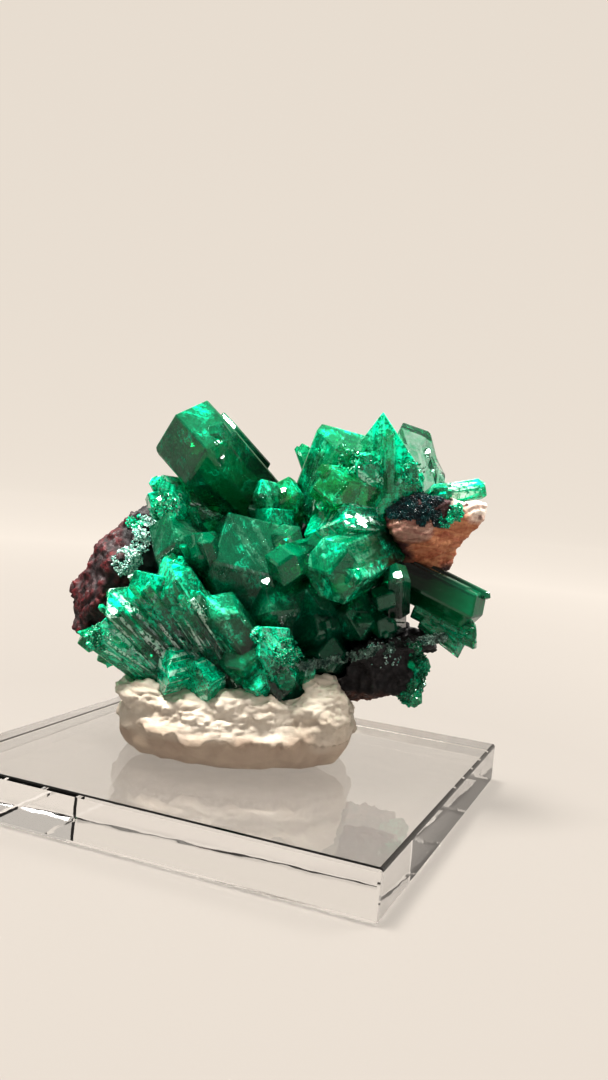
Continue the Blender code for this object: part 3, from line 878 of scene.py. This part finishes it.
def dioptase(name, density, tint, shade, mirror):
    """See-through green crystal, with a body colour where fractures scatter the light.

    Each crystal's finish gives the share that is fractured, the share of painted
    glints and of specks in it, and how far its green leans to yellow. The tint and
    density are of its inside, the shade scales its body colour as painted light
    above 1 and painted shade below it, and the mirror is its specular level.
    """
    material, tree, shader = new_material(name)
    place = millimetres(tree)
    grain = stored(tree, "grain")
    fractured, speck_and_painted_glint_share, yellow = split(tree, stored(tree, "finish"))
    lines = noise_of(tree, vectors(tree, "MULTIPLY", grain, (1.5, 0.22, 9.0)), 1.0, 3.0, 0.6)
    fine = noise_of(tree, place, 1.7, 6.0, 0.75, 1.0)
    broad = noise_of(tree, place, 0.35, 3.0, 0.6)

    # The crystals are lighter at their free ends than deep in the group, where painted shade darkens their
    # body colour.
    free = between(tree, stored(tree, "depth", "Fac"), 1.6, 0.4)

    # Milky where it is fractured, in torn patches
    patches = maths(tree, "ADD", maths(tree, "MULTIPLY", fractured, 0.34), broad)
    patches = between(tree, patches, 0.62, 0.76)
    patches = maths(tree, "MULTIPLY", patches, between(tree, free, 0.0, 1.0, 0.62, 1.0))
    torn = between(tree, maths(tree, "ADD", fine, maths(tree, "MULTIPLY", lines, 0.6)), 0.76, 0.90)
    milky = maths(tree, "MULTIPLY", patches, between(tree, torn, 0.0, 1.0, 0.25, 1.0))

    # Painted glints: pale highlights painted in lines along the crystal, and turquoise specks
    painted_glint_streaks = noise_of(tree, vectors(tree, "MULTIPLY", grain, (0.75, 0.1, 9.0)), 1.0, 2.0, 0.5)
    painted_glints = maths(tree, "MULTIPLY", between(tree, painted_glint_streaks, 0.57, 0.61), between(tree, fine, 0.46, 0.50))
    painted_glints = maths(tree, "MULTIPLY", painted_glints, maths(tree, "POWER", speck_and_painted_glint_share, 3.0))
    tiny = noise_of(tree, place, 5.0, 3.0, 0.7)
    specks = between(tree, maths(tree, "ADD", tiny, maths(tree, "MULTIPLY", broad, 0.3)), 0.81, 0.85)
    specks = maths(tree, "MULTIPLY", maths(tree, "MULTIPLY", specks, speck_and_painted_glint_share), 0.9)

    # Dark between the torn spots
    shadow = between(tree, fractured, 0.0, 0.6, 0.2, 0.6)
    shadow = maths(tree, "MULTIPLY", shadow, between(tree, fine, 0.40, 0.58, 1.0, 0.0))

    # Body colour from painted shade deep in the group to green at the free ends
    body = mixed(tree, free, (0.0, 0.07 * shade, 0.03 * shade), (0.0, 0.60 * shade, 0.29 * shade))
    body = mixed(tree, yellow, body, (0.02, 0.66, 0.20))
    body = mixed(tree, shadow, body, (0.0, 0.10 * shade, 0.045 * shade))
    body = mixed(tree, milky, body, (0.0, 0.82 * shade, 0.48 * shade))
    body = mixed(tree, specks, body, (0.12, 0.86, 0.62))
    body = mixed(tree, painted_glints, body, (0.88, 0.98, 0.93))

    white = maths(tree, "MAXIMUM", specks, painted_glints)
    clear = between(tree, free, 0.0, 1.0, 0.93, 0.78)
    clear = maths(tree, "MULTIPLY", clear, between(tree, milky, 0.0, 1.0, 1.0, 0.34))
    clear = maths(tree, "MULTIPLY", clear, between(tree, white, 0.0, 1.0, 1.0, 0.25))
    fill(tree, shader, Base_Color=body, Transmission_Weight=clear,
         Roughness=between(tree, milky, 0.0, 1.0, 0.015, 0.12),
         IOR=DIOPTASE_IOR, Specular_IOR_Level=mirror)
    bumped(tree, shader, crystal_relief(tree, grain, lines, fractured), 1.0, 1.0)
    absorbing(tree, tint, density)
    return material


def tones_of(tree):
    """The three shares stored at each place of a weathered piece."""
    return split(tree, stored(tree, "tones"))


def pale_dioptase():
    """Nearly colourless crystal."""
    material, tree, shader = new_material("dioptase_pale")
    place = millimetres(tree)
    thin = between(tree, noise_of(tree, place, 0.7, 4.0, 0.6), 0.45, 0.62)
    fill(tree, shader, Base_Color=mixed(tree, thin, (0.80, 0.95, 0.88), (0.30, 0.78, 0.55)),
         Transmission_Weight=0.95, Roughness=0.02, IOR=DIOPTASE_IOR)
    bumped(tree, shader, noise_of(tree, place, 2.0, 4.0, 0.6), 0.03, 0.3)
    absorbing(tree, (0.35, 0.88, 0.74), 110)
    return material


def crust(name, scale, low, high, dark, light, roughness, ior):
    """Dust of tiny crystals, from dark to light between two levels of its noise."""
    material, tree, shader = new_material(name)
    share = between(tree, noise_of(tree, millimetres(tree), scale, 4.0, 0.7), low, high)
    fill(tree, shader, Base_Color=mixed(tree, share, dark, light), Roughness=roughness, IOR=ior)
    return material


def pale_crust():
    return crust("pale_crust", 2.5, 0.42, 0.6, (0.06, 0.32, 0.25), (0.70, 0.88, 0.82), 0.22, DIOPTASE_IOR)


def grey_crust():
    return crust("grey_crust", 1.6, 0.42, 0.6, (0.006, 0.045, 0.032), (0.22, 0.32, 0.27), 0.3, PLAIN_IOR)


def dark_crust():
    return crust("dark_crust", 1.2, 0.45, 0.65, (0.002, 0.010, 0.014), (0.0, 0.07, 0.07), 0.3, PLAIN_IOR)


def rock_material():
    material, tree, shader = new_material("dark_rock")
    place = millimetres(tree)
    red, grey, brown = tones_of(tree)
    mottled = between(tree, noise_of(tree, place, 1.6, 5.0, 0.7), 0.42, 0.62)
    black = mixed(tree, mottled, (0.006, 0.005, 0.006), (0.028, 0.022, 0.024))
    maroon = mixed(tree, mottled, (0.022, 0.002, 0.003), (0.135, 0.006, 0.010))
    rust = mixed(tree, mottled, (0.06, 0.022, 0.016), (0.30, 0.13, 0.09))
    tone = mixed(tree, red, black, maroon)
    tone = mixed(tree, brown, tone, rust)
    dusty = between(tree, noise_of(tree, place, 2.4, 5.0, 0.75), 0.54, 0.64)
    tone = mixed(tree, maths(tree, "MULTIPLY", dusty, grey), tone, (0.20, 0.19, 0.19))
    grains = node(tree, "ShaderNodeTexVoronoi", Vector=place, Scale=1.3).outputs["Distance"]
    fill(tree, shader, Base_Color=tone, Roughness=between(tree, grains, 0.0, 0.6, 0.28, 0.7))
    bumped(tree, shader, noise_of(tree, place, 5.0, 5.0, 0.7), 0.12, 0.8)
    return material


def ledge_material():
    material, tree, shader = new_material("pale_rock")
    place = millimetres(tree)
    flow = millimetres(tree, (0.5, 0.5, 2.2))
    cream, dark, pink = tones_of(tree)
    flowing = between(tree, noise_of(tree, flow, 0.8, 4.0, 0.6, 0.8), 0.38, 0.62)
    body = mixed(tree, flowing, (0.36, 0.11, 0.05), (0.58, 0.27, 0.14))
    chalk = mixed(tree, flowing, (0.66, 0.50, 0.42), (0.88, 0.80, 0.72))
    lens = mixed(tree, flowing, (0.28, 0.13, 0.10), (0.44, 0.27, 0.21))
    tone = mixed(tree, cream, body, chalk)
    tone = mixed(tree, pink, tone, lens)
    tone = mixed(tree, dark, tone, (0.055, 0.012, 0.012))
    fill(tree, shader, Base_Color=tone, Roughness=0.55)
    bumped(tree, shader, noise_of(tree, place, 4.0, 5.0, 0.7), 0.1, 0.7)
    return material


def putty_material():
    material, tree, shader = new_material("putty")
    place = millimetres(tree)
    painted_lit_top, dust, warm = tones_of(tree)
    # Painted shade on the lower putty, and painted light on its pale top
    shade = mixed(tree, between(tree, noise_of(tree, place, 0.3, 4.0), 0.35, 0.65),
                  (0.46, 0.35, 0.27), (0.56, 0.45, 0.35))
    pale = mixed(tree, warm, (0.70, 0.63, 0.54), (0.60, 0.52, 0.43))
    tone = mixed(tree, painted_lit_top, shade, pale)
    specks = between(tree, noise_of(tree, place, 2.2, 4.0, 0.7), 0.66, 0.72)
    tone = mixed(tree, maths(tree, "MULTIPLY", specks, dust), tone, (0.30, 0.20, 0.14))
    fill(tree, shader, Base_Color=tone, Roughness=0.6)
    smear = noise_of(tree, millimetres(tree, (0.5, 0.5, 2.4)), 1.6, 5.0, 0.65)
    bumped(tree, shader, smear, 0.1, 0.5)
    return material


def acrylic_material():
    material, tree, shader = new_material("clear_acrylic")
    place = millimetres(tree)
    marks = between(tree, noise_of(tree, place, 1.2, 6.0, 0.7), 0.6, 0.75, 0.015, 0.07)
    fill(tree, shader, Base_Color=(0.99, 0.985, 0.98, 1.0), Transmission_Weight=1.0,
         IOR=ACRYLIC_IOR, Roughness=marks)
    bumped(tree, shader, noise_of(tree, place, 0.15, 2.0), 0.06, 0.25)
    return material


# The pieces

# Lit and shaded copies of one dioptase: the shade scales the body colour as painted light above 1 and
# painted shade below it, and the dark copy, also denser inside, is painted shade for crystals in the dark
# middle and right.
deep = dioptase("dioptase_deep", density=320, tint=(0.0, 0.72, 0.52), shade=0.9, mirror=0.26)
dark = dioptase("dioptase_painted_shade", density=700, tint=(0.0, 0.66, 0.45), shade=0.6, mirror=0.42)
bright = dioptase("dioptase_bright", density=160, tint=(0.0, 0.84, 0.68), shade=1.12, mirror=0.42)

# Solid that each group of crystals takes the place of, and its crystals
GROUPS = [
    ("large_prism", LARGE_PRISM, CLEAN, deep),
    ("crown_crystals", CROWN, STEPPED, bright),
    ("front_crystals", FRONT_CLUSTER, STEPPED, bright),
    ("upright_pair", UPRIGHT_PAIR, SMALL, dark),
    ("right_prism", RIGHT_PRISM, SPARSE, dark),
    ("fan_crystals", FAN, STRIATED, bright),
    ("saddle_crystals", SADDLE, SMALL, bright),
    ("shoulder_crystals", LEFT_SHOULDER, STEPPED, bright),
    ("centre_crystals", CENTRE, SPARSE, deep),
    ("lower_middle_crystals", LOWER_MIDDLE, SPARSE, dark),
    ("ledge_crystals", LEDGE_CRYSTALS, SMALL, bright),
    ("low_right_crystals", LOW_RIGHT, SMALL, bright),
    ("low_left_crystals", LOW_LEFT, SMALL, bright),
    ("rear_left_crystals", REAR_LEFT, SMALL, deep),
    ("rear_right_crystals", REAR_RIGHT, SMALL, bright),
]
for seed, (name, rows, habit, material) in enumerate(GROUPS):
    piece = crystal_piece("grown_" + name, rows, habit, material, seed)
    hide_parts(name)
pale = pale_dioptase()
crystal_piece("grown_pale_crystals", PALE_CROWN, SMALL, pale, seed=40)

rock = weathered("rough_rock", "matrix_rock", ROCK_VOXEL, rock_height, rock_shares, rock_material())
ledge = weathered("rough_ledge", "pale_ledge", LEDGE_VOXEL, ledge_height, ledge_shares, ledge_material())
weathered("pressed_putty", "mounting_putty", PUTTY_VOXEL, putty_height, putty_shares, putty_material())

# Patches of druse: pixels right and down in the photograph, spread in millimetres,
# number of needles and range of their width
TURQUOISE_PATCHES = [front_patch(*row) for row in (
    (452, 512, 1.2, 700, (0.12, 0.28)),
    (446, 519, 1.0, 400, (0.12, 0.28)),
    (412, 473, 1.3, 300, (0.12, 0.3)),
    (287, 652, 1.6, 420, (0.12, 0.34)),
    (258, 635, 0.9, 160, (0.12, 0.3)),
    (165, 505, 1.4, 200, (0.12, 0.3)),
    (350, 462, 1.4, 160, (0.12, 0.35)),
    (98, 638, 1.4, 260, (0.14, 0.36)),
    (136, 522, 0.8, 90, (0.2, 0.5)),
)]
FROST_PATCHES = [front_patch(*row) for row in (
    (146, 529, 1.5, 700, (0.10, 0.24)),
    (128, 562, 1.7, 700, (0.10, 0.24)),
    (140, 545, 1.0, 140, (0.10, 0.22)),
    (385, 650, 2.2, 160, (0.10, 0.22)),
)]
# Pixels down, and first and last to the right, of each row
DARK_ROWS = [
    (484, 436, 456),
    (491, 424, 458),
    (498, 404, 458),
    (505, 388, 452),
    (512, 376, 446),
    (519, 424, 444),
]
DARK_PATCHES = [
    front_patch(right, down, 0.9, 420, (0.10, 0.22))
    for down, first, last in DARK_ROWS
    for right in range(first, last, 8)
]
# Pixels right and down, and width in millimetres
FLAT_SPOTS = [
    (266, 583, 1.5),
    (294, 613, 0.6),
    (427, 453, 1.0),
    (361, 467, 0.6),
    (399, 577, 1.1),
    (222, 458, 0.7),
    (284, 491, 0.8),
    (160, 500, 0.7),
    (150, 612, 0.8),
    (196, 648, 0.9),
]
BACK_EYE = (0.0, 130.0, 34.0)
BACK_WALL = 9.0
# X and Z on the back wall, in the specimen's own frame
BACK_SPOTS = ((-12.0, 27.0), (-7.5, 29.0), (-3.0, 31.5), (4.0, 32.0), (9.0, 28.5), (12.5, 24.0), (3.0, 21.0))
BACK_PATCHES = [
    far_patch(BACK_EYE, (x, BACK_WALL, z), 2.4, 300, (0.16, 0.5))
    for x, z in BACK_SPOTS
]
EDGE_SPOTS = ((414, 649), (419, 658), (421, 668), (417, 678), (414, 688), (405, 699))
EDGE_PATCHES = [
    front_patch(right, down, 0.8, 170, (0.14, 0.34))
    for right, down in EDGE_SPOTS
]
# The shelf's edge rises to the right in the photograph.
SHELF_LEFT = 282
SHELF_RIGHT = 450
SHELF_DOWN = 671
SHELF_RISE = 0.21
SHELF_PATCHES = [
    front_patch(right, SHELF_DOWN - SHELF_RISE * (right - SHELF_LEFT), 0.55, 90, (0.10, 0.26))
    for right in range(SHELF_LEFT, SHELF_RIGHT, 7)
]
grown = [piece for piece in bpy.data.objects if piece.name.startswith("grown_")]
flat_faces("flat_faces", grown, FLAT_SPOTS, pale, seed=7)
druse("back_druse", [rock] + grown, BACK_PATCHES, 0.5, bright, seed=6, finish="veined")
druse("edge_druse", [rock] + grown, EDGE_PATCHES, 0.5, deep, seed=4, finish="veined")
druse("shelf_druse", [rock] + grown, SHELF_PATCHES, 0.5, grey_crust(), seed=5)
druse("turquoise_druse", [rock, ledge] + grown, TURQUOISE_PATCHES, 0.5, bright, seed=1)
druse("frost_druse", [rock], FROST_PATCHES, 0.5, pale_crust(), seed=2)
druse("dark_druse", [ledge], DARK_PATCHES, 0.6, dark_crust(), seed=3)

base = frame["nodes"]["acrylic_base"]
base.data.materials.clear()
base.data.materials.append(acrylic_material())


# Stage, light and camera

def make_stage():
    """A pale floor that turns up into a wall behind the specimen."""
    half = 1.2
    turn = 0.35
    front = -0.5
    back = 0.75
    top = 1.6
    steps = 12
    outline = [(front, 0.0)]
    for step in range(steps + 1):
        angle = math.pi / 2 * step / steps
        outline.append((back + turn * math.sin(angle), turn * (1 - math.cos(angle))))
    outline.append((back + turn, top))
    shape = bmesh.new()
    left, right = [
        [shape.verts.new((across, along, up)) for along, up in outline]
        for across in (-half, half)
    ]
    for step in range(len(outline) - 1):
        shape.faces.new((left[step], right[step], right[step + 1], left[step + 1]))
    mesh = mesh_from(shape, "stage")
    mesh.shade_smooth()
    stage = new_object("stage", mesh)
    stage.rotation_euler.z = SPECIMEN_TURN
    # Just clear of the base
    stage.location.z = -0.0002
    material, tree, shader = new_material("stage")
    place = millimetres(tree)
    tone = mixed(tree, noise_of(tree, place, 0.01, 2.0), (0.06, 0.055, 0.05), (0.066, 0.06, 0.055))
    # Painted shadow: the floor's glow is dimmer near the specimen
    far = between(tree, vectors(tree, "LENGTH", place), 60.0, 330.0)
    glow = mixed(tree, far, (0.50, 0.46, 0.415), (0.80, 0.735, 0.66))
    fill(tree, shader, Base_Color=tone, Roughness=0.9, Emission_Color=glow, Emission_Strength=1.0)
    mesh.materials.append(material)


def add_light(name, place, size, power, colour):
    """A rectangle of light, aimed at the middle of the specimen."""
    data = bpy.data.lights.new(name, "AREA")
    data.shape = "RECTANGLE"
    data.size, data.size_y = size
    data.energy = power
    data.color = colour
    light = new_object(name, data)
    light.location = place
    light.rotation_euler = (Vector(MIDDLE) - Vector(place)).to_track_quat("-Z", "Y").to_euler()


def make_light():
    world = bpy.data.worlds.new("studio")
    world.use_nodes = True
    tree = world.node_tree
    _, back, up = split(tree, node(tree, "ShaderNodeTexCoord").outputs["Generated"])
    # The room is dim in front of the specimen and pale above and behind it.
    height = between(tree, up, 0.1, 0.9)
    depth = between(tree, back, -0.5, 0.7)
    share = maths(tree, "MINIMUM", maths(tree, "ADD", height, depth), 1.0)
    room = mixed(tree, share, (0.03, 0.026, 0.024), (0.62, 0.58, 0.53))
    fill(tree, tree.nodes["Background"], Color=room, Strength=1.0)
    bpy.context.scene.world = world
    add_light("key", KEY_PLACE, (0.12, 0.09), 4.2, (1.0, 0.97, 0.93))
    add_light("rim", RIM_PLACE, (0.12, 0.08), 1.2, (1.0, 0.98, 0.95))
    add_light("panel", PANEL_PLACE, (0.24, 0.24), 0.45, (1.0, 0.98, 0.96))


def make_camera():
    data = bpy.data.cameras.new("camera")
    data.sensor_width = 36
    data.lens = data.sensor_width * FOCAL_PIXELS / PHOTO_SIZE[1]
    data.clip_start = 0.005
    data.clip_end = 10
    camera = new_object("camera", data)
    turned = Matrix((CAMERA_RIGHT, CAMERA_UP, -CAMERA_FORWARD)).transposed().to_4x4()
    camera.matrix_world = Matrix.Translation(CAMERA_PLACE) @ turned
    bpy.context.scene.camera = camera


make_stage()
make_light()
make_camera()
scene = bpy.context.scene
scene.view_settings.view_transform = "Standard"
scene.view_settings.gamma = 0.82
scene.cycles.use_denoising = True
scene.cycles.max_bounces = 24
scene.cycles.transmission_bounces = 20
